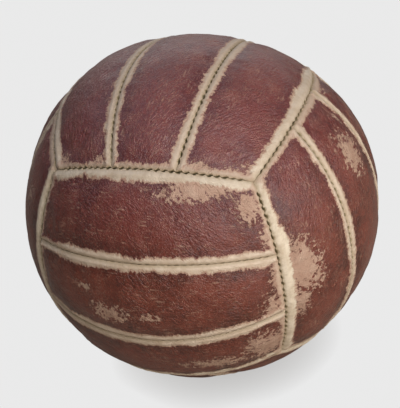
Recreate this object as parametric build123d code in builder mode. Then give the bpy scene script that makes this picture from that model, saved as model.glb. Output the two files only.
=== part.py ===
from build123d import *
from math import atan, cos, degrees, radians, sqrt, tan
import os

# Medicine ball: eighteen leather panels, six square faces of three strips, sewn edge to edge and
# stuffed. Millimetres, origin at the ball's centre, +Z through the middle of the top face.
# Every seam lies in a plane through the centre, so each panel is a wedge of the sphere.

# Cover
ball_radius = 125.0
leather_thickness = 2.6
flange_depth = 8.0  # how far the turned-in edges reach below the outer surface
rolled_edge = 2.4  # outer radius where the leather turns in
corner_round = 2.0  # radius of the upright corners of a panel
seam_gap = 0.15  # from a seam plane to the flange beside it
seat_flattening = 2.5  # how far the stuffed ball gives where it rests

# Panel layout, as angles from the middle of a face
strip_angle = 15.0
border_angle = 45.0

# Thread: pulled flat along each flange, and round where it passes through the stitch holes
thread_width = 1.3
thread_thickness = 0.8
thread_edge = 0.12
stitch_radius = 0.5
stitch_hole_radius = 0.65
stitch_depth = 4.6  # stitch line below the outer surface
thread_clearance = 0.1  # from a flange to the thread along it

# Stuffing
fit_clearance = 0.2
canvas_thickness = 0.8
core_radius = 85.0

flange_inner_side = seam_gap + leather_thickness
rail_offset = flange_inner_side + thread_clearance + thread_thickness / 2
stitch_circle = ball_radius - stitch_depth
seat_height = ball_radius - seat_flattening

# Where a strip seam meets a border, as an angle along the border from its middle. The stitches
# straddle that junction, so the pitch divides the angle into a whole number and a half.
junction_angle = degrees(atan(tan(radians(strip_angle)) / sqrt(2)))
stitch_pitch = junction_angle / 4.5

# Runs of stitches along a seam: first stitch, in pitches from the seam's middle, and count
strip_seam_runs = [(-17.5, 36)]
border_runs = [(-13.5, 9), (-3.5, 8), (5.5, 9)]
middle_end_runs = [border_runs[1]]
outer_end_runs = [border_runs[2]]
unbroken_run = [(-13.5, 28)]

# Turns a sphere so that its poles and its closing line stay out of every strip
poles_across = (0, 90, 0)

# Frames of the six faces: z is the outward normal and x runs across the three strips.
centre = (0, 0, 0)
faces = {
    "top": Plane(centre, x_dir=(1, 0, 0), z_dir=(0, 0, 1)),
    "bottom": Plane(centre, x_dir=(1, 0, 0), z_dir=(0, 0, -1)),
    "front": Plane(centre, x_dir=(0, 0, 1), z_dir=(0, -1, 0)),
    "back": Plane(centre, x_dir=(0, 0, 1), z_dir=(0, 1, 0)),
    "right": Plane(centre, x_dir=(0, 1, 0), z_dir=(1, 0, 0)),
    "left": Plane(centre, x_dir=(0, 1, 0), z_dir=(-1, 0, 0)),
}
# Names of each face's outer strips, on its -x and its +x side
outer_strips = {
    "top": ("left", "right"),
    "bottom": ("left", "right"),
    "front": ("lower", "upper"),
    "back": ("lower", "upper"),
    "right": ("front", "back"),
    "left": ("front", "back"),
}
# Border seams: the strips of the first face end on an outer strip of the second.
borders = [
    ("top", "front"),
    ("top", "back"),
    ("bottom", "front"),
    ("bottom", "back"),
    ("front", "right"),
    ("front", "left"),
    ("back", "right"),
    ("back", "left"),
    ("right", "top"),
    ("right", "bottom"),
    ("left", "top"),
    ("left", "bottom"),
]


def strip_seam_plane(angle):
    """Frame of a seam along the strips: x through the seam's middle, z square to the seam."""
    slope = tan(radians(angle))
    return Plane(centre, x_dir=(slope, 0, 1), z_dir=(1, 0, -slope))


def end_seam_plane(end):
    """Frame of the border seam at one end (-1 or 1) of the strips."""
    return Plane(centre, x_dir=(0, end, 1), z_dir=(0, 1, -end))


def border_seam_plane(first, second):
    """Frame of the border seam between two faces: z points from the first to the second."""
    return Plane(centre, x_dir=first.z_dir + second.z_dir, z_dir=second.z_dir - first.z_dir)


def strip_block(low_angle, high_angle, inset, radius):
    """A strip's wedge of the sphere, between two planes across the face and the two borders at
    its ends, all moved in by the inset."""
    with BuildPart() as block:
        Sphere(radius, rotation=poles_across)
        split(bisect_by=strip_seam_plane(low_angle).offset(inset), keep=Keep.TOP)
        split(bisect_by=strip_seam_plane(high_angle).offset(-inset), keep=Keep.BOTTOM)
        split(bisect_by=end_seam_plane(-1).offset(inset), keep=Keep.TOP)
        split(bisect_by=end_seam_plane(1).offset(-inset), keep=Keep.BOTTOM)
    return block.part


def stitch_locations(first, count):
    """The stitches of one run, in a seam's frame."""
    span = (count - 1) * stitch_pitch
    return PolarLocations(stitch_circle, count, first * stitch_pitch, span, endpoint=True)


def leather_panel(low_angle, high_angle, seams, seat=None):
    """A panel with its four edges turned in as flanges, pierced along its seams, and flattened
    at the seat height where the ball rests on it."""
    with BuildPart() as hollow:
        add(strip_block(low_angle, high_angle, flange_inner_side, ball_radius - leather_thickness))
        if seat:
            split(bisect_by=Plane.XY.offset(seat - leather_thickness), keep=Keep.BOTTOM)
    with BuildPart() as panel:
        add(strip_block(low_angle, high_angle, seam_gap, ball_radius))
        Sphere(ball_radius - flange_depth, rotation=poles_across, mode=Mode.SUBTRACT)
        fillet(panel.edges().filter_by(GeomType.LINE), corner_round)
        fillet(panel.faces().sort_by(SortBy.AREA)[-1].edges(), rolled_edge)
        if seat:
            split(bisect_by=Plane.XY.offset(seat), keep=Keep.BOTTOM)
        add(hollow.part, mode=Mode.SUBTRACT)
        for plane, runs in seams:
            for first, count in runs:
                with Locations(plane):
                    with stitch_locations(first, count):
                        Cylinder(stitch_hole_radius, 2 * rail_offset, mode=Mode.SUBTRACT)
    return panel.part


def middle_panel(seat=None):
    seams = [
        (strip_seam_plane(-strip_angle), strip_seam_runs),
        (strip_seam_plane(strip_angle), strip_seam_runs),
        (end_seam_plane(-1), middle_end_runs),
        (end_seam_plane(1), middle_end_runs),
    ]
    return leather_panel(-strip_angle, strip_angle, seams, seat)


def outer_panel():
    seams = [
        (strip_seam_plane(strip_angle), strip_seam_runs),
        (strip_seam_plane(border_angle), border_runs),
        (end_seam_plane(-1), outer_end_runs),
        (end_seam_plane(1), outer_end_runs),
    ]
    return leather_panel(strip_angle, border_angle, seams)


def seam_thread(plane, upper_rails, lower_rails, stitches):
    """The thread of one seam: rails on both sides of the flanges, joined by the stitches."""
    overrun = degrees(stitch_radius / stitch_circle)
    with BuildPart() as thread:
        for side, rails in ((1, upper_rails), (-1, lower_rails)):
            for first, count in rails:
                start = first * stitch_pitch - overrun
                span = (count - 1) * stitch_pitch + 2 * overrun
                with BuildSketch(Plane.XZ.rotated((0, 0, start))):
                    with Locations((stitch_circle, side * rail_offset)):
                        RectangleRounded(thread_width, thread_thickness, thread_edge)
                revolve(axis=Axis.Z, revolution_arc=span)
        for first, count in stitches:
            with stitch_locations(first, count):
                Cylinder(stitch_radius, 2 * rail_offset)
    with BuildPart() as placed:
        with Locations(plane):
            add(thread.part)
    return placed.part


def stuffing_form(ground_radius, pillow_radius, pillow_inset, seat):
    """The surface that the stuffing takes: a ball that swells into every panel between its
    flanges and the thread along them."""
    with BuildPart() as middle_pillow:
        add(strip_block(-strip_angle, strip_angle, pillow_inset, pillow_radius))
    with BuildPart() as seat_pillow:
        add(middle_pillow.part)
        split(bisect_by=Plane.XY.offset(seat), keep=Keep.BOTTOM)
    with BuildPart() as outer_pillow:
        add(strip_block(strip_angle, border_angle, pillow_inset, pillow_radius))
    with BuildPart() as form:
        Sphere(ground_radius)
        for name, face in faces.items():
            with Locations(face):
                add(seat_pillow.part if name == "bottom" else middle_pillow.part)
                add(outer_pillow.part)
                add(outer_pillow.part, rotation=(0, 0, 180))
    return form.part


def export_piece(label, solid, face=Plane.XY, turn=0):
    """Place a solid in a face's frame, turned about the face's normal, and write it."""
    with BuildPart() as piece:
        with Locations(face):
            add(solid, rotation=(0, 0, turn))
    piece.part.label = label
    export_step(piece.part, f"parts/{label}.step")


os.makedirs("parts", exist_ok=True)

# Leather cover
middle_strip = middle_panel()
seat_strip = middle_panel(seat_height)
outer_strip = outer_panel()
for name, face in faces.items():
    low_side, high_side = outer_strips[name]
    export_piece(f"{name}_middle_panel", seat_strip if name == "bottom" else middle_strip, face)
    export_piece(f"{name}_{high_side}_panel", outer_strip, face)
    export_piece(f"{name}_{low_side}_panel", outer_strip, face, turn=180)

# Seam threads
strip_thread = seam_thread(
    strip_seam_plane(strip_angle), strip_seam_runs, strip_seam_runs, strip_seam_runs
)
for name, face in faces.items():
    low_side, high_side = outer_strips[name]
    export_piece(f"{name}_{high_side}_seam_thread", strip_thread, face)
    export_piece(f"{name}_{low_side}_seam_thread", strip_thread, face, turn=180)
for first, second in borders:
    seam = border_seam_plane(faces[first], faces[second])
    border_thread = seam_thread(seam, unbroken_run, border_runs, border_runs)
    export_piece(f"{first}_{second}_border_thread", border_thread)

# Stuffing, from the cover inwards
liner_ground = ball_radius - flange_depth - fit_clearance
liner_pillow = ball_radius - leather_thickness - fit_clearance
liner_inset = rail_offset + thread_thickness / 2 + fit_clearance
liner_seat = seat_height - leather_thickness - fit_clearance


def stuffing_layer(depth):
    """The stuffing's surface at a depth below the outside of the canvas liner."""
    return stuffing_form(
        liner_ground - depth, liner_pillow - depth, liner_inset + depth, liner_seat - depth
    )


with BuildPart() as canvas_liner:
    add(stuffing_layer(0))
    add(stuffing_layer(canvas_thickness), mode=Mode.SUBTRACT)
canvas_liner.part.label = "canvas_liner"
export_step(canvas_liner.part, "parts/canvas_liner.step")

with BuildPart() as hair_padding:
    add(stuffing_layer(canvas_thickness + fit_clearance))
    Sphere(core_radius + fit_clearance, mode=Mode.SUBTRACT)
hair_padding.part.label = "hair_padding"
export_step(hair_padding.part, "parts/hair_padding.step")

with BuildPart() as rag_core:
    Sphere(core_radius)
rag_core.part.label = "rag_core"
export_step(rag_core.part, "parts/rag_core.step")
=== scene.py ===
"""The looks of the stuffed leather medicine ball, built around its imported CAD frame.

Lengths inside the geometry code are millimetres, and every mesh is written in metres.
"""

import itertools
import math

import bpy
import numpy as np
from mathutils import Matrix, Vector


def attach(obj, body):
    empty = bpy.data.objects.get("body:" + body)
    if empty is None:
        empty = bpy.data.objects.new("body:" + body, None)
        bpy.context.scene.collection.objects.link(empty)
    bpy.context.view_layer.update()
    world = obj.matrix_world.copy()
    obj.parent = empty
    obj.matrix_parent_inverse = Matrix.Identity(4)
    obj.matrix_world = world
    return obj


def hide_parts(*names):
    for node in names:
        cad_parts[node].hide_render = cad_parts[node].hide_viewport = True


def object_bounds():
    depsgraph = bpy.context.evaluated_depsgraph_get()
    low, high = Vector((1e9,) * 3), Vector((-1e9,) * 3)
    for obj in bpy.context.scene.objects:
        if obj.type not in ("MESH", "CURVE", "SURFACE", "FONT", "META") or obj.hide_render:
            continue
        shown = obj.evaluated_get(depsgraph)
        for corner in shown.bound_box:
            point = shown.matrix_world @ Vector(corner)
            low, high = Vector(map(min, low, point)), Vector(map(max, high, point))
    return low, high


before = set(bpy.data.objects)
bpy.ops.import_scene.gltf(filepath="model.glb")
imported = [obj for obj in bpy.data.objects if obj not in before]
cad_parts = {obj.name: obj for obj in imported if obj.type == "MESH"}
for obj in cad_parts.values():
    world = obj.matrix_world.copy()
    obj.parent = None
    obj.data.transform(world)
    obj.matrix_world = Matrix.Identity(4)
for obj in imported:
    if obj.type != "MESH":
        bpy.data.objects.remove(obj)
cad_low, cad_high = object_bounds()

MM = 0.001
RADIUS = cad_high.x / MM
SEAT = -cad_low.z / MM  # the resting flat's distance below the centre
LEATHER = 2.6
FLANGE_DEPTH = 8.0
STRIP_ANGLE = math.radians(15)
BORDER_ANGLE = math.radians(45)
# Stitches straddle the junctions of strip seams and borders by half a pitch each side.
PITCHES_TO_JUNCTION = 4.5
PITCH = math.atan(math.tan(STRIP_ANGLE) / math.sqrt(2)) / PITCHES_TO_JUNCTION
# Runs of stitches along a seam: first stitch, in pitches from the seam's middle, and count
STRIP_RUNS = [(-17.5, 36)]
BORDER_RUNS = [(-13.5, 9), (-3.5, 8), (5.5, 9)]

# The gaps between stitches, along the seam in pitches, and how open each kind of seam is
MOST_GAPS = 64  # more than any seam has
GAP_SIZES = (0.55, 1.1)
GAP_HALF_WIDTHS = (0.23, 0.31)
GAP_DRIFT = 0.05
GAP_SLANT = 0.12  # the two sides of a gap are staggered by this much each way
GAP_SOFTNESS = 0.12
TIGHT_SEAM, OPEN_SEAM, BORDER_SEAM = 0.4, 1.0, 1.05

# Each face of three strips: the direction across its strips, its outward direction, and the
# names of the outer strips, low side first
FACES = {
    "top": ((1, 0, 0), (0, 0, 1), ("left", "right")),
    "bottom": ((1, 0, 0), (0, 0, -1), ("left", "right")),
    "front": ((0, 0, 1), (0, -1, 0), ("lower", "upper")),
    "back": ((0, 0, 1), (0, 1, 0), ("lower", "upper")),
    "right": ((0, 1, 0), (1, 0, 0), ("front", "back")),
    "left": ((0, 1, 0), (-1, 0, 0), ("front", "back")),
}


def unit(v):
    v = np.asarray(v, float)
    return v / np.linalg.norm(v, axis=-1, keepdims=True)


def face_axes(face):
    """Rows: across the strips, along the strips, outward."""
    across, outward = (np.array(v, float) for v in FACES[face][:2])
    return np.stack([across, np.cross(outward, across), outward])


def face_towards(direction):
    return next(face for face in FACES if face_axes(face)[2] @ direction > 0.5)


# ---- Seams ----


class Seam:
    """A seam on a great circle: mid is its middle, normal is square to its plane."""

    def __init__(self, number, mid, normal, runs, openness):
        self.mid = unit(mid)
        self.normal = unit(normal)
        self.tangent = np.cross(self.normal, self.mid)
        self.last_stitch = -runs[0][0]  # in pitches from the middle
        rng = np.random.default_rng(700 + number)
        self.gap_size = openness * rng.uniform(*GAP_SIZES, MOST_GAPS)
        self.gap_half = rng.uniform(*GAP_HALF_WIDTHS, MOST_GAPS)
        self.gap_shift = rng.uniform(-GAP_DRIFT, GAP_DRIFT, MOST_GAPS)

    def gape(self, d):
        """How far the seam gapes at directions d: 0 where a stitch pinches it, about 1 midway."""
        along = np.arctan2(d @ self.tangent, d @ self.mid) / PITCH
        gap = np.round(along)
        index = np.clip(gap.astype(int) + MOST_GAPS // 2, 0, MOST_GAPS - 1)
        slant = GAP_SLANT * np.sign(d @ self.normal)
        off = np.abs(along - gap - self.gap_shift[index] - slant)
        half = self.gap_half[index]
        opened = 1 - smoothstep(half - GAP_SOFTNESS, half + GAP_SOFTNESS, off)
        return opened * self.gap_size[index] * (np.abs(along) < self.last_stitch)


def smoothstep(low, high, x):
    t = np.clip((x - low) / (high - low), 0, 1)
    return t * t * (3 - 2 * t)


def build_seams():
    """All 24 seams, by (face, side) for strip seams and by a pair of faces for borders."""
    seams = {}
    for face in FACES:
        across, _, outward = face_axes(face)
        for side in (-1, 1):
            mid = outward * math.cos(STRIP_ANGLE) + side * across * math.sin(STRIP_ANGLE)
            normal = across * math.cos(STRIP_ANGLE) - side * outward * math.sin(STRIP_ANGLE)
            openness = TIGHT_SEAM if face in ("front", "back") else OPEN_SEAM
            seams[face, side] = Seam(len(seams), mid, normal, STRIP_RUNS, openness)
    for first, second in itertools.combinations(FACES, 2):
        one, two = face_axes(first)[2], face_axes(second)[2]
        if abs(one @ two) < 0.5:
            pair = frozenset((first, second))
            seams[pair] = Seam(len(seams), one + two, two - one, BORDER_RUNS, BORDER_SEAM)
    return seams


SEAMS = build_seams()


# ---- Noise and the ball's overall form ----


def value_noise(p, cell, seed):
    """Smooth noise in -1..1 on a lattice of the given cell size."""
    q = p / cell
    base = np.floor(q).astype(np.int64)
    f = q - base
    f = f * f * f * (f * (f * 6 - 15) + 10)
    total = np.zeros(p.shape[:-1])
    for corner in itertools.product((0, 1), repeat=3):
        weight = np.prod(np.where(corner, f, 1 - f), axis=-1)
        x, y, z = np.moveaxis(base + np.array(corner), -1, 0)
        h = (x * 374761393 + y * 668265263 + z * 2147483647 + seed * 144269504) & 0xFFFFFFFF
        h = ((h ^ (h >> 13)) * 1274126177) & 0xFFFFFFFF
        h = (h ^ (h >> 16)) & 0xFFFF
        total += weight * (h / 32767.5 - 1)
    return total


# An old ball has sagged: two flatter sides and a fuller one, as direction and millimetres
FORM_INSET = 0.9  # the form lies this far inside the CAD ball, to leave room for the crowns
SAG_UPPER = (unit((0.136, 0.619, 0.774)), 5.1)
SAG_LOWER = (unit((0.302, -0.464, -0.833)), 2.4)
FULL_SIDE = (unit((-0.619, -0.623, -0.478)), 2.3)
FULL_SPREAD = 0.42  # radians
SEAT_SPREAD = 0.36  # radians round the seat where the stuffing fills the ball out again
SEAT_SOFTNESS = 0.35


def ball_form(d):
    """The ball's radius at directions d, without seams or wrinkles."""
    sag = sum(depth * np.clip(d @ way, 0, 1) ** 3 for way, depth in (SAG_UPPER, SAG_LOWER))
    below = np.arccos(np.clip(-d[..., 2], -1, 1)) / SEAT_SPREAD
    aside = np.arccos(np.clip(d @ FULL_SIDE[0], -1, 1)) / FULL_SPREAD
    full = FULL_SIDE[1] * np.exp(-(aside**2) / 2)
    lumps = 0.25 * value_noise(d * RADIUS + 400, 70, 3) + 0.2 * value_noise(d * RADIUS, 38, 5)
    return RADIUS - FORM_INSET - sag * (1 - np.exp(-(below**2))) + full + lumps


def seated(d, radius, inset=0.0):
    """Radii at directions d with the underside flattened by a soft minimum with the floor, which
    only directions well below the horizon can reach."""
    floor = (SEAT - inset) / np.maximum(-d[..., 2], 1e-3)
    over = np.clip((radius - floor) / SEAT_SOFTNESS, -40, 40)
    flattened = radius - SEAT_SOFTNESS * np.log1p(np.exp(over))
    return np.where(d[..., 2] < -0.7, flattened, radius)


# ---- Panels ----

ROLL = 1.5  # nominal width of the rolled edge
NEAR = 8.0  # width of the zone that follows a seam
ROLL_STEPS = 6
NEAR_STEPS = 10
ACROSS_STEPS = 60
ALONG_STEPS = 280
COARSE = 4  # the underside's grid is this many times coarser

# Each kind of panel edge: ridge height, distance and width, the rubbed band's width, and how
# pale the bare leather is there
RIDGES = {
    "strip": (0.8, 3.0, 1.9, 5.6, 0.62),
    "long": (1.25, 4.2, 2.8, 8.6, 1.0),
    "end": (0.5, 2.7, 1.7, 4.8, 0.25),
}

# The rolled edge where a stitch pinches it, and what a full gape adds
PINCHED_GAP, GAPING_GAP = 0.015, 0.6
PINCHED_ROLL, GAPING_ROLL = 0.45, 0.95
PINCHED_DROP, GAPING_DROP = 0.22, 1.7
ROLL_BLEND = 3.0  # distance from the seam where the gape no longer moves the surface

SEAM_DIP, SEAM_DIP_REACH = 1.0, 9.0
PUCKER, PUCKER_REACH = 0.3, 2.6
MEAN_GAPE = 0.45
CLOSED_GAP = 0.15  # from a seam plane to the flanges' lower edge
CLOSED_WITHIN = 0.8  # edge points nearer to a seam than this belong to it
CLOSING_RATE = 2.6  # how much sooner than their lower edge the flanges meet
HEM = 2.4  # from the underside down to the foot of its rounded border
GROOVE_FLOOR = 4.8  # depth in the groove that stands for all of a flange


def panel_sides(face, strip):
    """The panel's four sides as (seam, inward normal, kind), in the order low across,
    high across, low end, high end."""
    axes = face_axes(face)

    def border(direction, kind):
        seam = SEAMS[frozenset((face, face_towards(direction)))]
        return seam, unit(axes[2] - direction), kind

    def strip_side(side, sign):
        seam = SEAMS[face, side]
        return seam, seam.normal * sign, "strip"

    # A middle strip lies between its face's two strip seams, an outer strip beyond one of them.
    low = border(-axes[0], "long") if strip == -1 else strip_side(1 if strip else -1, 1)
    high = border(axes[0], "long") if strip == 1 else strip_side(-1 if strip else 1, -1)
    return [low, high, border(-axes[1], "end"), border(axes[1], "end")]


ENDS = np.array([-BORDER_ANGLE, BORDER_ANGLE])


def strip_angles(strip):
    return {
        -1: (-BORDER_ANGLE, -STRIP_ANGLE),
        0: (-STRIP_ANGLE, STRIP_ANGLE),
        1: (STRIP_ANGLE, BORDER_ANGLE),
    }[strip]


def nominal_line(steps):
    """Places along one direction of a panel's grid: (distance from the low side or nan, the
    fraction of the way between the near zones, distance from the high side or nan)."""
    turn = np.linspace(math.pi / 2, 0, ROLL_STEPS + 1)[:-1]
    near = np.concatenate([ROLL * (1 - np.sin(turn)), np.linspace(ROLL, NEAR, NEAR_STEPS + 1)])
    inner = np.linspace(0, 1, steps + 1)[1:-1]
    count = len(near)
    low = np.concatenate([near, np.full(len(inner) + count, np.nan)])
    middle = np.concatenate([np.zeros(count), inner, np.ones(count)])
    high = np.concatenate([np.full(len(inner) + count, np.nan), near[::-1]])
    return low, middle, high


def outer_profile(nominal, gape):
    """Distance from the seam of the outer surface, nearer where the stitches pinch it."""
    gap = PINCHED_GAP + GAPING_GAP * gape
    roll = PINCHED_ROLL + GAPING_ROLL * gape
    rolled = gap + roll * nominal / ROLL
    blend = (nominal - ROLL) / (ROLL_BLEND - ROLL)
    joined = gap + roll + (ROLL_BLEND - gap - roll) * blend
    return np.where(nominal < ROLL, rolled, np.where(nominal < ROLL_BLEND, joined, nominal))


def inner_profile(nominal, gape):
    """Distance from the seam of the inner surface, inside the flange's thickness at any gape."""
    flange = CLOSED_GAP + LEATHER
    return np.where(nominal < NEAR, flange + nominal * (NEAR - flange) / NEAR, nominal)


def edge_shares(rows, cols):
    """How far round the rolled edges each grid point is (0..1), across and along the strip, the
    larger of the two, and the share that draws the grid's square corners in to round ones."""
    across = np.nan_to_num(np.clip(1 - np.fmin(cols[0], cols[2]) / ROLL, 0, 1))
    along = np.nan_to_num(np.clip(1 - np.fmin(rows[0], rows[2]) / ROLL, 0, 1))
    edge = np.maximum(across, along)
    length = np.maximum(np.hypot(across, along), 1e-9)
    return across, along, edge, np.where((across > 0) & (along > 0), edge / length, 1)


def spread(other, low, middle, high, limits, gapes, profile):
    """Tangents across (or along) the strip from distances, for the other direction's tangents."""
    bound = np.tan(limits)
    size = np.sqrt(other**2 + 1 + bound[:, None, None] ** 2)
    scale = RADIUS * np.cos(limits)[:, None, None] / size
    from_low = bound[0] + profile(low, gapes[0]) / scale[0]
    from_high = bound[1] - profile(high, gapes[1]) / scale[1]
    start = np.arctan(bound[0] + NEAR / scale[0])
    stop = np.arctan(bound[1] - NEAR / scale[1])
    inner = np.tan(start + (stop - start) * middle)
    return np.where(np.isfinite(low), from_low, np.where(np.isfinite(high), from_high, inner))


def panel_directions(face, strip, sides, rows, cols, profile):
    """Directions of a panel's grid, how far round the rolled edge each point is (0..1), and the
    gape there. rows and cols are nominal lines along and across the strip."""
    limits = strip_angles(strip)
    axes = face_axes(face)
    shape = (len(cols[0]), len(rows[0]))
    cols = [np.broadcast_to(v[:, None], shape) for v in cols]
    rows = [np.broadcast_to(v[None, :], shape) for v in rows]
    e_across, e_along, edge, draw = edge_shares(rows, cols)

    def drawn(nominal, e):
        return np.where(np.isfinite(nominal) & (e > 0), ROLL * (1 - e * draw), nominal)

    across = drawn(cols[0], e_across), cols[1], drawn(cols[2], e_across)
    along = drawn(rows[0], e_along), rows[1], drawn(rows[2], e_along)
    a = np.tan(limits[0] + (limits[1] - limits[0]) * cols[1])
    b = np.tan(-BORDER_ANGLE + 2 * BORDER_ANGLE * rows[1])
    # The gapes depend on the directions, so they are settled in two rounds.
    for _ in range(2):
        d = unit(np.stack([a, b, np.ones_like(a)], axis=-1)) @ axes
        gapes = [seam.gape(d) for seam, _, _ in sides]
        a = spread(b, *across, np.array(limits), gapes[:2], profile)
        b = spread(a, *along, ENDS, gapes[2:], profile)
    d = unit(np.stack([a, b, np.ones_like(a)], axis=-1)) @ axes
    gape = np.where(e_across >= e_along, np.where(np.isfinite(cols[0]), gapes[0], gapes[1]),
                    np.where(np.isfinite(rows[0]), gapes[2], gapes[3]))
    return d, edge, gape


def seam_distances(d, sides):
    """Distance in millimetres from directions d to each of the panel's four seams."""
    return [RADIUS * np.arcsin(np.clip(d @ inward, -1, 1)) for _, inward, _ in sides]


def relief(face, d, sides, number):
    """Height of the leather above the ball's form: crown, ridges, puckers and wrinkles."""
    p = d * RADIUS
    distances = seam_distances(d, sides)
    nearest = np.minimum.reduce(distances)
    height = crown(face, d) * (0.3 + 0.7 * smoothstep(3, 15, nearest))
    height = height - SEAM_DIP * np.exp(-nearest / SEAM_DIP_REACH)
    for (seam, _, kind), s in zip(sides, distances):
        high, place, width = RIDGES[kind][:3]
        vary = 1 + 0.35 * value_noise(p, 24, 11)
        height = height + high * vary * np.exp(-(((s - place) / width) ** 2))
        pucker = (seam.gape(d) - MEAN_GAPE) * np.exp(-np.abs(s) / PUCKER_REACH)
        height = height + PUCKER * pucker
    height = height + 0.22 * value_noise(p, 17, 21 + number) + 0.07 * value_noise(p, 6.5, 22)
    creases = np.abs(value_noise(p, 4.2, 24)) ** 0.7 - 0.4
    return height + 0.10 * creases + 0.03 * value_noise(p, 2.2, 23)


# Rubbed patches by face: angles across and along its strips, half widths, strength
PATCHES = {
    "right": [
        (-38, 5, 11, 15, 0.75), (-32, -4, 10, 12, 0.25), (-40, -13, 7, 13, 0.5),
        (1, 23, 11, 15, 0.56), (10, 34, 6, 11, 0.12), (22, 43, 8, 9, 0.3),
    ],
    "front": [
        (-4, 13, 7, 14, 0.52), (4, 21, 6, 12, 0.25), (-4, -1, 4, 9, 0.42),
        (-31, -38, 13, 13, 0.65), (-31, -20, 6, 24, 0.5), (-11, -41, 13, 7, 0.5),
        (4, -43, 16, 4, 0.35), (41, -27, 5.5, 24, 0.74), (35, -40, 9, 7, 0.65),
        (24, -43, 9, 4, 0.4), (14, -40, 6, 7, 0.4), (-40, 5, 5, 30, 0.15),
    ],
    "top": [(-40, -42, 10, 7, 0.35), (-20, -42, 14, 4, 0.3), (24, -43, 16, 4, 0.35)],
    "back": [(30, 12, 11, 16, 0.6), (-8, -20, 9, 14, 0.25), (-33, 30, 10, 14, 0.3)],
    "left": [(34, -6, 11, 15, 0.5), (-3, 18, 9, 14, 0.2), (-32, -24, 9, 12, 0.25)],
    "bottom": [(0, 0, 17, 20, 0.25), (31, -28, 9, 14, 0.4), (-34, 22, 10, 15, 0.2)],
}

# Where the bare band along a seam is wider: as above, with the extra width for strength
WIDER = {
    "front": [(-15, 17, 14, 30, 3.6), (15, 12, 14, 34, 1.6)],
    "top": [(-15, -2, 14, 30, 1.8), (15, 14, 14, 34, 2.0), (45, 10, 14, 30, 1.8)],
    "right": [(15, -8, 14, 26, 1.6)],
    "back": [(15, 20, 14, 30, 2.4)],
    "left": [(-15, -12, 14, 30, 2.0)],
    "bottom": [(15, 8, 14, 30, 2.2)],
}

NO_PATCH = -2.0
PATCH_FALL = 0.55  # how fast a patch's level falls towards its edge


def spots(d, table):
    """For each spot in a table, its last value, and how far directions d are from its middle:
    the squared distance as a share of its half widths."""
    for face, rows in table.items():
        axes = face_axes(face)
        for across, along, wide, long, size in rows:
            slopes = [math.tan(math.radians(across)), math.tan(math.radians(along)), 1.0]
            offset = RADIUS * (d - unit(slopes) @ axes) @ axes.T
            away = (offset[..., 0] / wide) ** 2 + (offset[..., 1] / long) ** 2
            yield size, away + (offset[..., 2] / max(wide, long)) ** 2


def patch_level(d):
    """How far the rubbed patches reach at directions d: positive inside them."""
    level = np.full(d.shape[:-1], NO_PATCH)
    for strength, away in spots(d, PATCHES):
        level = np.maximum(level, strength - PATCH_FALL * np.sqrt(away))
    return level


# Steps in a chart's third coordinate, which give every side and panel its own noise
SIDE_STEP, PANEL_STEP, SEAM_PANEL_STEP = 31.0, 37.0, 131.0
WEAR_SOFTNESS = 6.0  # millimetres over which the wear level changes by one


def seam_chart(d, sides, number):
    """Place along and away from the nearest seam, how worn the finish is beside it, and how
    pale the bare leather is."""
    p = d * RADIUS
    vary = 1 + 0.26 * value_noise(p, 26, 31) + 0.16 * value_noise(p, 9, 32)
    extra = sum(size * np.exp(-away) for size, away in spots(d, WIDER))
    distances = seam_distances(d, sides)
    level = np.maximum.reduce([
        (RIDGES[kind][3] * vary + extra - s) / WEAR_SOFTNESS
        for (_, _, kind), s in zip(sides, distances)
    ])
    nearest = np.argmin(distances, axis=0)
    along = [RADIUS * np.arctan2(d @ seam.tangent, d @ seam.mid) for seam, _, _ in sides]
    along = np.choose(nearest, along)
    pale = np.array([RIDGES[kind][4] for _, _, kind in sides])[nearest]
    chart = np.stack([along, np.minimum.reduce(distances), SIDE_STEP * nearest], axis=-1)
    return chart + np.array((0, 0, SEAM_PANEL_STEP * number)), level, pale


def grid_loop(across, along):
    """Indices of a grid's outer loop, in order round it, for (across, along) points."""
    low = [(i, 0) for i in range(across - 1)]
    right = [(across - 1, j) for j in range(along - 1)]
    top = [(i, along - 1) for i in range(across - 1, 0, -1)]
    left = [(0, j) for j in range(along - 1, 0, -1)]
    return np.array(low + right + top + left)


def grid_quads(across, along, start, flip):
    i, j = np.meshgrid(np.arange(across - 1), np.arange(along - 1), indexing="ij")
    a = (start + i * along + j).ravel()
    quads = np.stack([a, a + along, a + along + 1, a + 1], axis=1)
    return quads[:, ::-1] if flip else quads


def ring_quads(one, two):
    """Quads that join two loops of the same length."""
    return np.stack([one, two, np.roll(two, -1), np.roll(one, -1)], axis=1)


def make_mesh(name, points, faces, attributes=()):
    """A smooth-shaded mesh object in metres, with float attributes on its points."""
    mesh = bpy.data.meshes.new(name)
    mesh.from_pydata((points * MM).tolist(), [], faces)
    for label, values in attributes:
        if values.ndim == 2:
            layer = mesh.attributes.new(label, "FLOAT_VECTOR", "POINT")
            layer.data.foreach_set("vector", values.ravel().astype(np.float32))
        else:
            layer = mesh.attributes.new(label, "FLOAT", "POINT")
            layer.data.foreach_set("value", values.astype(np.float32))
    mesh.shade_smooth()
    mesh.update()
    obj = bpy.data.objects.new(name, mesh)
    bpy.context.scene.collection.objects.link(obj)
    return obj


class PanelPoints:
    """A panel's points, gathered block by block: direction, radius, depth in the groove beside a
    seam, and 0 on the dyed side or 1 on the fuzzy underside."""

    def __init__(self):
        self.blocks = []
        self.count = 0

    def add(self, directions, radii, groove, flesh):
        """Add a block of points and return their numbers."""
        size = len(radii)
        self.blocks.append((directions, radii, np.broadcast_to(groove, size), np.full(size, flesh)))
        self.count += size
        return self.count - size + np.arange(size)

    def joined(self):
        return [np.concatenate(column) for column in zip(*self.blocks)]


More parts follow.
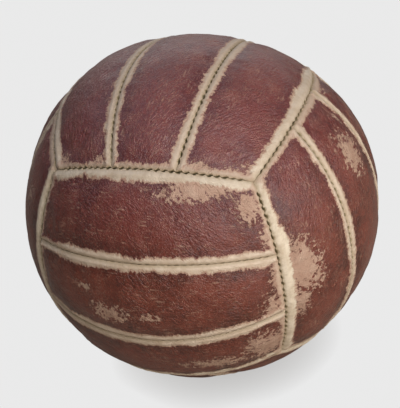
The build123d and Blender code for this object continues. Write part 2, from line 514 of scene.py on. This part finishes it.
def closed_edge(directions, sides):
    """An edge's directions, drawn in to the seams as the stitches draw the flanges together."""
    closed = directions.copy()
    for _, inward, _ in sides:
        s = RADIUS * (closed @ inward)
        pull = np.where(s < CLOSED_WITHIN, (CLOSED_GAP - s) / RADIUS, 0)
        closed = closed + pull[:, None] * inward
    return unit(closed)


def flange_rings(points, edge_d, edge_r, sides):
    """Rings of points from the rolled edge down to the turned-in edge of the leather."""
    closed = closed_edge(edge_d, sides)
    lip = ball_form(edge_d) - FLANGE_DEPTH
    rings = []
    for fraction in (0.25, 0.55, 1.0):
        blend = unit(edge_d + (closed - edge_d) * min(1, fraction * CLOSING_RATE))
        radii = edge_r + (lip - edge_r) * fraction
        rings.append(points.add(blend, radii, GROOVE_FLOOR, 0.0))
    return rings, lip


def underside(points, face, sides, number, inner_d, fine):
    """The coarser grid inside the leather, which follows half of the relief outside it, sewn to
    the fine ring round its flanges. Returns its polygons."""
    coarse = inner_d[::COARSE, ::COARSE]
    loop = grid_loop(*coarse.shape[:2])
    under = ball_form(coarse) + 0.5 * relief(face, coarse, sides, number) - LEATHER
    under = seated(coarse, under, LEATHER)
    rows, cols = loop.T
    hem = points.add(coarse[rows, cols], under[rows, cols] - HEM, GROOVE_FLOOR, 1.0)
    polygons = []
    for k, (one, two) in enumerate(zip(hem, np.roll(hem, -1))):
        span = [int(fine[(k * COARSE + n) % len(fine)]) for n in range(COARSE + 1)]
        polygons.append(span[::-1] + [int(one), int(two)])
    start = points.add(coarse.reshape(-1, 3), under.ravel(), GROOVE_FLOOR, 1.0)[0]
    cap = start + rows * coarse.shape[1] + cols
    polygons += ring_quads(hem, cap).tolist()
    return polygons + grid_quads(*coarse.shape[:2], start, True).tolist()


def strip_chart(face, directions, number):
    """Flat coordinates across and along a panel, which its leather's grain and dye follow."""
    local = directions @ face_axes(face).T
    return np.stack([
        RADIUS * np.arctan2(local[:, 0], local[:, 2]),
        RADIUS * np.arctan2(local[:, 1], local[:, 2]),
        np.full(len(local), PANEL_STEP * number),
    ], axis=1)


def outer_surface(face, strip, sides, number, rows, cols):
    """The dyed side of a panel: directions, radii, and depth in the groove at its rolled edges."""
    d, edge, gape = panel_directions(face, strip, sides, rows, cols, outer_profile)
    drop = PINCHED_DROP + GAPING_DROP * gape
    drop = drop * (1 - np.sqrt(np.clip(1 - edge**2, 0, 1)))
    return d, seated(d, ball_form(d) + relief(face, d, sides, number)) - drop, drop


def panel_mesh(face, strip, number, name):
    """One leather panel: crowned face, rolled edges, flanges and underside, as a closed mesh."""
    sides = panel_sides(face, strip)
    cols, rows = nominal_line(ACROSS_STEPS), nominal_line(ALONG_STEPS)
    d, radius, drop = outer_surface(face, strip, sides, number, rows, cols)
    across, along = d.shape[:2]
    i, j = grid_loop(across, along).T
    points = PanelPoints()
    points.add(d.reshape(-1, 3), radius.ravel(), drop.ravel(), 0.0)
    flanges, lip = flange_rings(points, d[i, j], radius[i, j], sides)

    inner_d = panel_directions(face, strip, sides, rows, cols, inner_profile)[0]
    turned = points.add(inner_d[i, j], lip, GROOVE_FLOOR, 1.0)
    rings = [i * along + j, *flanges, turned]
    blocks = [grid_quads(across, along, 0, False)]
    blocks += [ring_quads(one, two) for one, two in zip(rings, rings[1:])]
    polygons = [quad for block in blocks for quad in block.tolist()]
    polygons += underside(points, face, sides, number, inner_d, turned)

    directions, radii, groove, flesh = points.joined()
    seam_place, worn, pale = seam_chart(directions, sides, number)
    return make_mesh(name, directions * radii[:, None], polygons, [
        ("wear", worn),
        ("pale", pale),
        ("patch", patch_level(directions)),
        ("seam", seam_place),
        ("groove", groove),
        ("flesh", flesh),
        ("strip", strip_chart(face, directions, number)),
    ])


# ---- Cloth pass ----

COVER_STEPS = 48  # cells along each side of a face, so that every seam falls on a grid line
COVER_CAP = 5.0  # the furthest that the cloth may rise
COVER_SHARE = 0.38  # how much of its rise the stiff leather keeps
COVER_FRAMES = 20
COVER_JITTER = 0.15  # starts the wrinkles off


def face_grid(face, steps):
    """Directions of an evenly angled grid over a whole face, seams on its lines."""
    turn = np.tan(np.linspace(-BORDER_ANGLE, BORDER_ANGLE, steps + 1))
    a, b = np.meshgrid(turn, turn, indexing="ij")
    return unit(np.stack([a, b, np.ones_like(a)], axis=-1)) @ face_axes(face)


def whole_ball(steps):
    """All six faces' grids welded together: directions, quads, and each face's indices."""
    grids = [face_grid(face, steps) for face in FACES]
    stacked = np.concatenate([grid.reshape(-1, 3) for grid in grids])
    _, first, index = np.unique(
        np.round(stacked, 6), axis=0, return_index=True, return_inverse=True
    )
    index = index.reshape(len(FACES), steps + 1, steps + 1)
    quads = grid_quads(steps + 1, steps + 1, 0, False)
    return stacked[first], np.concatenate([numbers.ravel()[quads] for numbers in index]), index


def set_cloth(cloth):
    """A stiff cloth that shrinks a little and is blown up, with no weight."""
    cloth.quality = 6
    cloth.mass = 0.4
    cloth.tension_stiffness = cloth.compression_stiffness = 18
    cloth.shear_stiffness = 9
    cloth.bending_stiffness = 2.0
    cloth.shrink_min = -0.035
    cloth.use_pressure = True
    cloth.uniform_pressure_force = 4.0
    cloth.vertex_group_mass = "sewn"
    cloth.effector_weights.gravity = 0.0


def inflate_cover():
    """Blow the sewn cover up as cloth held along its seams. Returns how far each face's grid
    rises above the seams, in millimetres."""
    directions, quads, index = whole_ball(COVER_STEPS)
    rng = np.random.default_rng(41)
    jitter = rng.uniform(-COVER_JITTER, COVER_JITTER, len(directions))
    points = directions * (RADIUS + jitter)[:, None]
    cover = make_mesh("cover_cloth", points, quads.tolist())
    seams = (0, COVER_STEPS // 3, 2 * COVER_STEPS // 3, COVER_STEPS)
    sewn = np.unique(np.concatenate([index[:, seams, :].ravel(), index[:, :, (0, -1)].ravel()]))
    cover.vertex_groups.new(name="sewn").add(sewn.tolist(), 1.0, "REPLACE")
    modifier = cover.modifiers.new("cloth", "CLOTH")
    set_cloth(modifier.settings)
    modifier.point_cache.frame_start = 1
    modifier.point_cache.frame_end = COVER_FRAMES
    for step in range(1, COVER_FRAMES + 1):
        bpy.context.scene.frame_set(step)
    solved = cover.evaluated_get(bpy.context.evaluated_depsgraph_get()).to_mesh()
    moved = np.empty(len(directions) * 3, np.float32)
    solved.vertices.foreach_get("co", moved)
    rise = np.linalg.norm(moved.reshape(-1, 3), axis=1) / MM - RADIUS
    bpy.data.objects.remove(cover)
    bpy.context.scene.frame_set(1)
    return (COVER_CAP * np.tanh(rise / COVER_CAP))[index]


def catmull_rom(t):
    """Weights of four neighbours in a row, for places t of the way between the middle two."""
    return [
        0.5 * (-t + 2 * t**2 - t**3),
        0.5 * (2 - 5 * t**2 + 3 * t**3),
        0.5 * (t + 4 * t**2 - 3 * t**3),
        0.5 * (t**3 - t**2),
    ]


def crown(face, d):
    """The cloth's rise at directions d on a face, interpolated between its grid's points."""
    total = np.zeros(d.shape[:-1])
    if COVER is None:
        return total
    local = d @ face_axes(face).T
    grid = COVER[list(FACES).index(face)]
    cells, weights = [], []
    for axis in (0, 1):
        turn = np.arctan2(local[..., axis], local[..., 2])
        place = (turn + BORDER_ANGLE) / (2 * BORDER_ANGLE) * COVER_STEPS
        cell = np.clip(np.floor(place), 0, COVER_STEPS - 1)
        weights.append(catmull_rom(place - cell))
        cells.append(cell.astype(int))
    for m, n in itertools.product(range(4), repeat=2):
        i = np.clip(cells[0] + m - 1, 0, COVER_STEPS)
        j = np.clip(cells[1] + n - 1, 0, COVER_STEPS)
        total += weights[0][m] * weights[1][n] * grid[i, j]
    return total * COVER_SHARE


# ---- Thread and stuffing ----

STITCH_DEPTH = 4.6
CORD_CIRCLE = RADIUS - STITCH_DEPTH
CORD_OFFSET = 3.3  # from the seam to the cord along a flange
CORD_RADIUS = 0.46
CORD_SIDES = 8
STRAND_LIFT = 0.42  # how far apart the two strands cross in a stitch hole, each way
PLIES, PLY_DEPTH, PLY_TWIST = 3, 0.14, 2.4
# One stitch of a strand: fraction of a pitch, share of the way out to the flange's inner side
STITCH = [(0, 0), (0.03, 0.45), (0.08, 0.85), (0.16, 1), (0.34, 1.02), (0.5, 1.03),
          (0.66, 1.02), (0.84, 1), (0.92, 0.85), (0.97, 0.45)]


def strand_path(seam, first, count, side):
    """One strand of a saddle stitch, crossing the seam at every stitch."""
    turn, out = [], []
    for k in range(count - 1):
        sign = side if k % 2 else -side
        turn += [(first + k + f) * PITCH for f, _ in STITCH]
        out += [sign * share * CORD_OFFSET for _, share in STITCH]
    turn, out = np.array(turn + [(first + count - 1) * PITCH]), np.array(out + [0.0])
    circle = np.cos(turn)[:, None] * seam.mid + np.sin(turn)[:, None] * seam.tangent
    lift = STRAND_LIFT * side * (1 - np.abs(out) / CORD_OFFSET)
    drop = RADIUS - ball_form(circle)
    return circle * (CORD_CIRCLE - drop + lift)[:, None] + out[:, None] * seam.normal


def cord_points(path):
    """Rings of a twisted three-ply cord along a path."""
    ahead = unit(np.gradient(path, axis=0))
    up = unit(path)
    up = unit(up - np.sum(up * ahead, axis=1, keepdims=True) * ahead)
    side = np.cross(ahead, up)
    length = np.concatenate([[0], np.cumsum(np.linalg.norm(np.diff(path, axis=0), axis=1))])
    around = np.linspace(0, 2 * math.pi, CORD_SIDES, endpoint=False)
    ply = 1 + PLY_DEPTH * np.cos(PLIES * around[None, :] - PLY_TWIST * length[:, None])
    out = np.cos(around)[None, :, None] * up[:, None] + np.sin(around)[None, :, None] * side[:, None]
    return path[:, None] + CORD_RADIUS * ply[..., None] * out


def cord_mesh(name, seam, runs):
    points, faces, total = [], [], 0
    for first, count in runs:
        for side in (-1, 1):
            rings = cord_points(strand_path(seam, first, count, side))
            n = len(rings)
            index = total + np.arange(n * CORD_SIDES).reshape(n, CORD_SIDES)
            for one, two in zip(index, index[1:]):
                faces += ring_quads(one, two)[:, ::-1].tolist()
            faces += [index[0].tolist()[::-1], index[-1].tolist()]
            points.append(rings.reshape(-1, 3))
            total += n * CORD_SIDES
    return make_mesh(name, np.concatenate(points), faces)


# The stuffing's form, below the ball's: how deep it lies, and from and to where beside a seam it
# swells up between the flanges
BELOW_FLANGES, BELOW_PANELS = 8.6, 3.4
PILLOW_RISE = 4.9
PILLOW_EDGE, PILLOW_TOP = 3.6, 8.5
LINER_THICKNESS = 0.8
HAIR_DEPTH = 1.4
HAIR_HOLLOW = 85.9
CORE_RADIUS = 84.2


def seam_distance(face, d):
    """Distance from directions d on a face to its nearest seam."""
    normals = [seam.normal for key, seam in SEAMS.items() if face in key]
    return np.minimum.reduce([np.abs(RADIUS * np.arcsin(d @ normal)) for normal in normals])


def stuffing_surface(steps, depth, wrinkle, seed):
    """The stuffing's form at a depth below its liner's outside: radii, directions, quads."""
    directions, quads, index = whole_ball(steps)
    near = np.empty(len(directions))
    for k, face in enumerate(FACES):
        flat = index[k].ravel()
        near[flat] = seam_distance(face, directions[flat])
    swell = smoothstep(PILLOW_EDGE + depth, PILLOW_TOP + depth, near)
    radius = ball_form(directions) - BELOW_FLANGES + PILLOW_RISE * swell - depth
    p = directions * RADIUS
    radius = radius + wrinkle * value_noise(p, 9, seed) + 0.5 * wrinkle * value_noise(p, 4, seed + 1)
    return seated(directions, radius, BELOW_PANELS + depth), directions, quads


def shell_mesh(name, outer, inner, directions, quads):
    """A closed shell between outer and inner radii."""
    points = np.concatenate([directions * outer[:, None], directions * inner[:, None]])
    faces = quads.tolist() + (quads[:, ::-1] + len(outer)).tolist()
    return make_mesh(name, points, faces)


def build_stuffing():
    """The canvas liner, the hair padding and the rag core, as (piece, node, slot, material)."""
    outer, directions, quads = stuffing_surface(66, 0.0, 0.25, 51)
    liner = shell_mesh("liner_bag", outer, outer - LINER_THICKNESS, directions, quads)
    outer, directions, quads = stuffing_surface(48, HAIR_DEPTH, 0.3, 53)
    p = directions * RADIUS
    hollow = HAIR_HOLLOW + 0.4 * value_noise(p, 8, 55)
    hair = shell_mesh("hair_layer", outer, hollow, directions, quads)
    directions, quads, _ = whole_ball(42)
    p = directions * RADIUS
    folds = 1.6 * np.abs(value_noise(p, 22, 57)) + 0.6 * value_noise(p, 9, 58)
    core = make_mesh("rag_bundle", directions * (CORE_RADIUS - folds)[:, None], quads.tolist())
    return [
        (liner, "canvas_liner", "liner_canvas", canvas_material()),
        (hair, "hair_padding", "hair_stuffing", hair_material()),
        (core, "rag_core", "rag_stuffing", rag_material()),
    ]


# ---- Materials ----


class Nodes:
    """A material's node tree, built up by short calls. Lengths are millimetres."""

    def __init__(self, name):
        self.material = bpy.data.materials.new(name)
        self.material.use_nodes = True
        self.tree = self.material.node_tree
        self.tree.nodes.clear()
        place = self.add("TexCoord").outputs["Object"]
        self.place = self.vector("SCALE", place, Scale=1 / MM)

    def feed(self, socket, value):
        if isinstance(value, bpy.types.NodeSocket):
            self.tree.links.new(value, socket)
        elif isinstance(value, (tuple, list)) and len(value) == 3 and socket.type == "RGBA":
            socket.default_value = (*value, 1)
        else:
            socket.default_value = value

    def add(self, kind, settings=None, **inputs):
        node = self.tree.nodes.new("ShaderNode" + kind)
        for key, value in (settings or {}).items():
            setattr(node, key, value)
        for key, value in inputs.items():
            self.feed(node.inputs[key.replace("_", " ")], value)
        return node

    def math(self, operation, *values):
        node = self.add("Math", {"operation": operation})
        for socket, value in zip(node.inputs, values):
            self.feed(socket, value)
        return node.outputs[0]

    def muladd(self, value, factor, plus):
        return self.math("MULTIPLY_ADD", value, factor, plus)

    def vector(self, operation, *values, **named):
        node = self.add("VectorMath", {"operation": operation}, **named)
        for socket, value in zip(node.inputs, values):
            self.feed(socket, value)
        return node.outputs[0]

    def attribute(self, name, output="Fac"):
        return self.add("Attribute", {"attribute_name": name}).outputs[output]

    def step(self, value, low, high, start=0.0, stop=1.0):
        """A smooth step of a value from start to stop."""
        node = self.add("MapRange", {"interpolation_type": "SMOOTHSTEP"}, Value=value)
        limits = {"From Min": low, "From Max": high, "To Min": start, "To Max": stop}
        for key, number in limits.items():
            self.feed(node.inputs[key], number)
        return node.outputs[0]

    def mix(self, amount, one, two, blend="MIX"):
        node = self.add("Mix", {"data_type": "RGBA", "blend_type": blend})
        for socket, value in zip((node.inputs[0], node.inputs[6], node.inputs[7]),
                                 (amount, one, two)):
            self.feed(socket, value)
        return node.outputs[2]

    def noise(self, cell, detail=2.0, place=None, rough=0.5, stretch=None):
        """Noise of about -1..1 with features of the given size."""
        place = self.place if place is None else place
        if stretch:
            place = self.vector("MULTIPLY", place, stretch)
        node = self.add("TexNoise", Vector=place, Scale=1 / cell, Detail=detail, Roughness=rough)
        return self.muladd(node.outputs[0], 4.0, -2.0)

    def finish(self, colour, roughness, height, depth, **extra):
        """Close the tree with a surface whose bump height is in units of depth millimetres."""
        bump = self.add("Bump", Height=height, Distance=depth * MM)
        surface = self.add("BsdfPrincipled", Base_Color=colour, Roughness=roughness,
                           Normal=bump.outputs[0], **extra)
        output = self.add("OutputMaterial", Surface=surface.outputs[0])
        output.is_active_output = True
        return self.material


CRINKLE_TURN = math.radians(35)
# How a noise is stretched: a smaller share draws it out that way
ALONG_STRIP = (1.0, 0.16, 1.0)
ACROSS_SEAM = (1.0, 0.3, 1.0)
CRINKLE_STRETCH = (1.0, 0.4, 1.0)
OXBLOOD_DARK = (0.053, 0.010, 0.005)
OXBLOOD = (0.16, 0.034, 0.019)
OXBLOOD_PALE = (0.29, 0.10, 0.062)
TAN = (0.37, 0.215, 0.145)
# Mauve for a painted sheen on the ball's top
TOP_SHEEN_MAUVE = (0.165, 0.04, 0.058)
PINK_TAN = (0.44, 0.285, 0.20)
CREAM = (0.52, 0.405, 0.28)
CREAM_PALE = (0.70, 0.59, 0.45)
HANDLED = (0.37, 0.27, 0.20)
# Olive tint close to the seam lines
SEAM_EDGE_OLIVE = (0.29, 0.215, 0.12)
# Painted shade with dirt in the seams' gaps
GROOVE_DIRT_AND_SHADE = (0.31, 0.245, 0.13)
SUEDE = (0.42, 0.29, 0.19)


def scuffs(n, chart, high):
    """Paler rubbed specks and scratches along the strips: both, and the scratches alone."""
    speck = n.math("ADD", n.noise(0.85, 2, chart, 0.6), n.step(high, 20.0, 90.0, 0, 0.1))
    speck_field = n.noise(13, 3, chart)
    speckled = n.step(n.muladd(speck_field, 0.3, speck), 0.36, 0.85)
    scratch = n.noise(1.3, 3, chart, 0.6, ALONG_STRIP)
    scratch_field = n.noise(15, 2, chart)
    scratched = n.step(n.muladd(scratch_field, 0.4, scratch), 0.4, 0.9)
    return n.math("MAXIMUM", speckled, scratched), scratched


def dyed_face(n, chart, wear_level, high, mottle, fine, scuffed):
    """The dyed face's colour: clouded, with a painted cooler mauve sheen on top, darker near the
    wear, with scuffs.
    """
    cloud = n.noise(26, 3, chart)
    shade = n.muladd(mottle, 0.6, n.math("MULTIPLY", cloud, 0.6))
    shade = n.muladd(fine, 0.35, shade)
    shade = n.math("ADD", shade, n.step(wear_level, -2.2, -0.2, 0.15, -0.35))
    face = n.mix(n.step(shade, -1.1, 0.75), OXBLOOD_DARK, OXBLOOD)
    face = n.mix(n.step(fine, 0.1, 0.9, 0, 0.4), face, OXBLOOD_PALE)
    # Painted sheen: the dye is tinted mauve higher up the ball, standing in for a cool light's sheen
    # on its top.
    face = n.mix(n.step(high, 10.0, 95.0, 0, 0.6), face, n.mix(0.5, face, TOP_SHEEN_MAUVE))
    return n.mix(n.math("MULTIPLY", scuffed, 0.55), face, TAN)


def wear(n, chart, seam, wear_level, flecks):
    """How far the finish is broken up beside a seam, and where it is down to tan or cream."""
    comb = n.noise(2.2, 4, seam, 0.7, ACROSS_SEAM)
    islands = n.noise(6.0, 4, chart, 0.65)
    broken = n.muladd(islands, 0.24, wear_level)
    broken = n.muladd(comb, 0.26, n.muladd(flecks, 0.12, broken))
    rubbed = n.muladd(n.noise(3.6, 4, chart, 0.65), 0.55, n.attribute("patch"))
    rubbed = n.muladd(flecks, 0.36, rubbed)
    tan = n.math("MAXIMUM", n.step(broken, -0.03, 0.06), n.step(rubbed, 0.0, 0.1))
    return broken, tan, n.step(broken, 0.12, 0.38)


def bare_leather(n, chart, high, stain):
    """The colour of the leather where the finish is gone, greyer on top where hands hold it."""
    bare = n.mix(n.step(stain, -0.9, 0.9), CREAM, CREAM_PALE)
    bare = n.mix(n.step(n.noise(2.2, 3, chart, 0.7), 0.3, 1.3, 0, 0.5), bare, TAN)
    bare = n.mix(n.attribute("pale"), PINK_TAN, bare)
    return n.mix(n.step(high, 45.0, 100.0, 0, 0.55), bare, HANDLED)


def tinted_at_seams(n, colour, seam, flecks, groove_dirt_and_shade):
    """A colour tinted olive close to each seam line, and painted shade with dirt down in the seams'
    gaps.
    """
    beside = n.add("SeparateXYZ", Vector=seam).outputs[1]
    # An olive tint that fades out within a few millimetres of the seam line
    seam_edge_tint = n.step(n.muladd(flecks, 0.5, beside), 0.3, 2.6, 0.55, 0.0)
    return n.mix(groove_dirt_and_shade, n.mix(seam_edge_tint, colour, SEAM_EDGE_OLIVE), GROOVE_DIRT_AND_SHADE)


def leather_grain(n, chart, broken, fine):
    """Grain height: creased cells and longer crinkles, flatter where the finish is worn."""
    warp = n.add("TexNoise", Vector=chart, Scale=0.6).outputs["Color"]
    warped = n.vector("MULTIPLY_ADD", warp, (1.6, 1.6, 0.0), chart)
    cells = n.add("TexVoronoi", {"feature": "DISTANCE_TO_EDGE"}, Vector=warped, Scale=1 / 1.7)
    creases = n.step(cells.outputs["Distance"], 0.0, 0.3)
    turned = n.add("VectorRotate", {"rotation_type": "Z_AXIS"}, Vector=chart, Angle=CRINKLE_TURN)
    crinkle = n.math("ABSOLUTE", n.noise(3.4, 2, turned.outputs[0], 0.5, CRINKLE_STRETCH))
    crinkle = n.step(crinkle, 0.0, 0.45)
    crinkled = n.step(n.noise(24, 2, chart), -0.4, 0.5, 0.3, 2.0)
    grain = n.muladd(n.math("MULTIPLY", crinkle, crinkled), 1.0, creases)
    grain = n.muladd(fine, 0.12, grain)
    return n.math("MULTIPLY", grain, n.step(broken, 0.0, 0.5, 1.0, 0.35))


def leather_material():
    """Oxblood leather that is rubbed bare along its seams, tinted olive beside them, painted with
    shade and dirt in their gaps, and creased.
    """
    n = Nodes("panel_leather")
    chart, seam = n.attribute("strip", "Vector"), n.attribute("seam", "Vector")
    wear_level, flesh = n.attribute("wear"), n.attribute("flesh")
    high = n.add("SeparateXYZ", Vector=n.place).outputs[2]
    mottle = n.noise(4.0, 4, chart, 0.65)
    fine = n.noise(1.3, 3, chart, 0.7)
    flecks = n.noise(1.9, 4, chart, 0.75)
    stain = n.noise(8.0, 4, chart, 0.6)

    # The dyed face is worn to tan and then to cream.
    scuffed, scratched = scuffs(n, chart, high)
    face = dyed_face(n, chart, wear_level, high, mottle, fine, scuffed)
    broken, tan, cream = wear(n, chart, seam, wear_level, flecks)
    colour = n.mix(tan, face, n.mix(n.step(stain, -0.8, 1.0), TAN, PINK_TAN))
    colour = n.mix(cream, colour, bare_leather(n, chart, high, stain))

    # Painted shade with dirt: the further the surface drops into a seam's gap, the more olive brown
    # it is painted, and the flange walls in the gaps get this colour in full.
    groove_dirt_and_shade = n.step(n.muladd(flecks, 0.1, n.attribute("groove")), 0.3, 0.9)
    colour = tinted_at_seams(n, colour, seam, flecks, groove_dirt_and_shade)
    colour = n.mix(flesh, colour, n.mix(n.step(mottle, -0.8, 0.8), SUEDE, TAN))

    # Worn leather lies lower and is duller.
    height = n.muladd(mottle, 0.25, leather_grain(n, chart, broken, fine))
    height = n.muladd(scratched, -0.4, height)
    height = n.muladd(tan, -0.7, height)
    rough = n.muladd(fine, 0.04, n.muladd(mottle, 0.05, 0.33))
    rough = n.muladd(scuffed, 0.12, n.muladd(tan, 0.24, rough))
    rough = n.muladd(n.math("MAXIMUM", groove_dirt_and_shade, flesh), 0.2, rough)
    return n.finish(colour, rough, height, 0.17, Specular_IOR_Level=0.5)


def thread_material():
    n = Nodes("waxed_linen")
    fibre = n.noise(0.35, 3, None, 0.6)
    worn = n.noise(9.0, 2)
    colour = n.mix(n.step(fibre, -0.9, 0.9), (0.30, 0.24, 0.14), (0.62, 0.54, 0.39))
    colour = n.mix(n.step(worn, 0.0, 1.2, 0, 0.6), colour, (0.12, 0.09, 0.05))
    return n.finish(colour, 0.62, fibre, 0.08)


def canvas_material():
    n = Nodes("cotton_canvas")
    split = n.add("SeparateXYZ", Vector=n.place)
    x, y, z = (split.outputs[k] for k in range(3))
    warp = n.math("SINE", n.math("MULTIPLY", n.math("ADD", x, y), 5.0))
    weft = n.math("SINE", n.math("MULTIPLY", n.math("SUBTRACT", z, n.math("MULTIPLY", y, 0.5)), 5.0))
    weave = n.math("MULTIPLY", warp, weft)
    slub = n.noise(2.5, 3)
    colour = n.mix(n.step(weave, -1, 1), (0.42, 0.37, 0.27), (0.66, 0.60, 0.47))
    colour = n.mix(n.step(slub, 0.2, 1.4, 0, 0.5), colour, (0.33, 0.27, 0.18))
    return n.finish(colour, 0.88, weave, 0.2)


def hair_material():
    n = Nodes("curled_hair")
    strands = n.noise(0.9, 4, None, 0.7, (1.0, 0.25, 0.6))
    clumps = n.noise(7.0, 3)
    colour = n.mix(n.step(strands, -0.9, 0.9), (0.035, 0.024, 0.016), (0.17, 0.115, 0.07))
    colour = n.mix(n.step(clumps, 0.0, 1.2, 0, 0.5), colour, (0.25, 0.18, 0.11))
    return n.finish(colour, 0.8, strands, 0.6)


def rag_material():
    n = Nodes("packed_rags")
    patches = n.add("TexVoronoi", Vector=n.place, Scale=1 / 24)
    tint = n.add("SeparateColor", Color=patches.outputs["Color"]).outputs[0]
    weave = n.noise(0.6, 2, None, 0.5, (1.0, 3.0, 1.0))
    colour = n.mix(tint, (0.30, 0.27, 0.22), (0.13, 0.15, 0.19))
    colour = n.mix(n.step(weave, -1, 1, 0, 0.5), colour, (0.5, 0.46, 0.38))
    return n.finish(colour, 0.92, weave, 0.4)


PALE = (0.82, 0.82, 0.82)
CONTACT_SHADE = (0.50, 0.49, 0.48)
FLOOR_PAINT = (0.40, 0.34, 0.28)
CONTACT_REACH = 0.025


def floor_material():
    """A pale floor that looks evenly lit to the camera, shaded only close to the ball."""
    n = Nodes("pale_floor")
    near = n.add("AmbientOcclusion", {"samples": 16}, Distance=CONTACT_REACH).outputs["AO"]
    glow = n.add("Emission", Color=n.mix(near, CONTACT_SHADE, PALE), Strength=1.0)
    paint = n.add("BsdfDiffuse", Color=FLOOR_PAINT)
    seen = n.add("LightPath").outputs["Is Camera Ray"]
    both = n.add("MixShader", Fac=seen)
    n.feed(both.inputs[1], paint.outputs[0])
    n.feed(both.inputs[2], glow.outputs[0])
    n.add("OutputMaterial", Surface=both.outputs[0])
    return n.material


# ---- The object ----


def place_piece(piece, material, slot, *nodes):
    piece.data.materials.append(material)
    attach(piece, "root")
    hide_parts(*nodes)


def build_panels():
    leather = leather_material()
    number = 0
    for face, (_, _, (low, high)) in FACES.items():
        for strip, label in ((-1, low), (0, "middle"), (1, high)):
            piece = panel_mesh(face, strip, number, f"leather_{face}_{label}")
            place_piece(piece, leather, "panel_leather", f"{face}_{label}_panel")
            number += 1


def build_threads():
    linen = thread_material()
    for face, (_, _, labels) in FACES.items():
        for side, label in zip((-1, 1), labels):
            cord = cord_mesh(f"cord_{face}_{label}", SEAMS[face, side], STRIP_RUNS)
            place_piece(cord, linen, "seam_thread", f"{face}_{label}_seam_thread")
        # A border belongs to the face whose strips end on it.
        for end in (-1, 1):
            other = face_towards(end * face_axes(face)[1])
            cord = cord_mesh(f"cord_{face}_{other}", SEAMS[frozenset((face, other))], BORDER_RUNS)
            place_piece(cord, linen, "seam_thread", f"{face}_{other}_border_thread")


# ---- Floor, light and camera ----

# The photograph's view: a long lens from above the right end of the front face, turned a little
VIEW_AZIMUTH = math.radians(24.25)
VIEW_ELEVATION = math.radians(33.3)
VIEW_ROLL = math.radians(10.15)
VIEW_DISTANCE = 14.5 * RADIUS * MM
VIEW_LENS = 225.66
VIEW_SHIFT = (-0.00686, -0.00245)


def camera_axes():
    """Columns right, up and back of the camera."""
    a, e = VIEW_AZIMUTH, VIEW_ELEVATION
    back = Vector((math.sin(a) * math.cos(e), -math.cos(a) * math.cos(e), math.sin(e)))
    level = Vector((math.cos(a), math.sin(a), 0))
    upright = back.cross(level)
    right = level * math.cos(VIEW_ROLL) - upright * math.sin(VIEW_ROLL)
    return right, back.cross(right), back


def aim(obj, place, target):
    obj.location = place
    obj.rotation_euler = (place - target).to_track_quat("Z", "Y").to_euler()


def build_camera():
    right, up, back = camera_axes()
    data = bpy.data.cameras.new("photo_camera")
    data.sensor_width = 36
    data.lens = VIEW_LENS
    data.shift_x, data.shift_y = VIEW_SHIFT
    camera = bpy.data.objects.new("photo_camera", data)
    turn = Matrix((right, up, back)).transposed().to_4x4()
    camera.matrix_world = Matrix.Translation(back * VIEW_DISTANCE) @ turn
    bpy.context.scene.collection.objects.link(camera)
    bpy.context.scene.camera = camera


def soft_light(name, direction, distance, size, power, colour):
    """A round soft light in a direction given in camera right, up and back."""
    right, up, back = camera_axes()
    place = (right * direction[0] + up * direction[1] + back * direction[2]).normalized() * distance
    data = bpy.data.lights.new(name, "AREA")
    data.shape = "DISK"
    data.size = size
    data.energy = power
    data.color = colour
    light = bpy.data.objects.new(name, data)
    aim(light, place, Vector((0, 0, 0)))
    light.visible_camera = False
    bpy.context.scene.collection.objects.link(light)


# Each light: direction in camera right, up and back, distance, size, power, colour
WHITE = (1.0, 1.0, 1.0)
LIGHTS = {
    "key_light": ((0.2, 0.42, 0.88), 1.5, 1.0, 10.5, WHITE),
    "window_light": ((0.49, -0.1, 0.86), 1.4, 1.6, 18.5, WHITE),
    "sky_light": ((-0.6, 0.8, 0.15), 1.9, 2.2, 12, (0.74, 0.82, 1.0)),
    "rim_light": ((0.95, -0.15, -0.05), 1.4, 1.4, 8, WHITE),
    "back_light": ((0.0, 0.7, -0.75), 2.4, 2.4, 16, WHITE),
}
ROOM_COLOUR = (1.0, 0.97, 0.94)
ROOM_LIGHT = 0.08
FLOOR_REACH = 6.0  # metres each way


def build_floor():
    corners = np.array([(-1, -1, 0), (1, -1, 0), (1, 1, 0), (-1, 1, 0)]) * FLOOR_REACH / MM
    floor = make_mesh("floor", corners + np.array((0, 0, -SEAT)), [(0, 1, 2, 3)])
    floor.data.materials.append(floor_material())


def build_room():
    """A dim even room light, which the camera sees as a pale backdrop."""
    world = bpy.data.worlds.new("studio")
    world.use_nodes = True
    tree = world.node_tree
    room = tree.nodes["Background"]
    room.inputs[0].default_value = (*ROOM_COLOUR, 1)
    room.inputs[1].default_value = ROOM_LIGHT
    backdrop = tree.nodes.new("ShaderNodeBackground")
    backdrop.inputs[0].default_value = (*PALE, 1)
    seen = tree.nodes.new("ShaderNodeLightPath").outputs["Is Camera Ray"]
    both = tree.nodes.new("ShaderNodeMixShader")
    for socket, source in zip(both.inputs, (seen, room.outputs[0], backdrop.outputs[0])):
        tree.links.new(source, socket)
    tree.links.new(both.outputs[0], tree.nodes["World Output"].inputs[0])
    bpy.context.scene.world = world
    bpy.context.scene.view_settings.view_transform = "Standard"


COVER = inflate_cover()
build_panels()
build_threads()
for piece, node, slot, material in build_stuffing():
    place_piece(piece, material, slot, node)
build_floor()
for name, light in LIGHTS.items():
    soft_light(name, *light)
build_room()
build_camera()
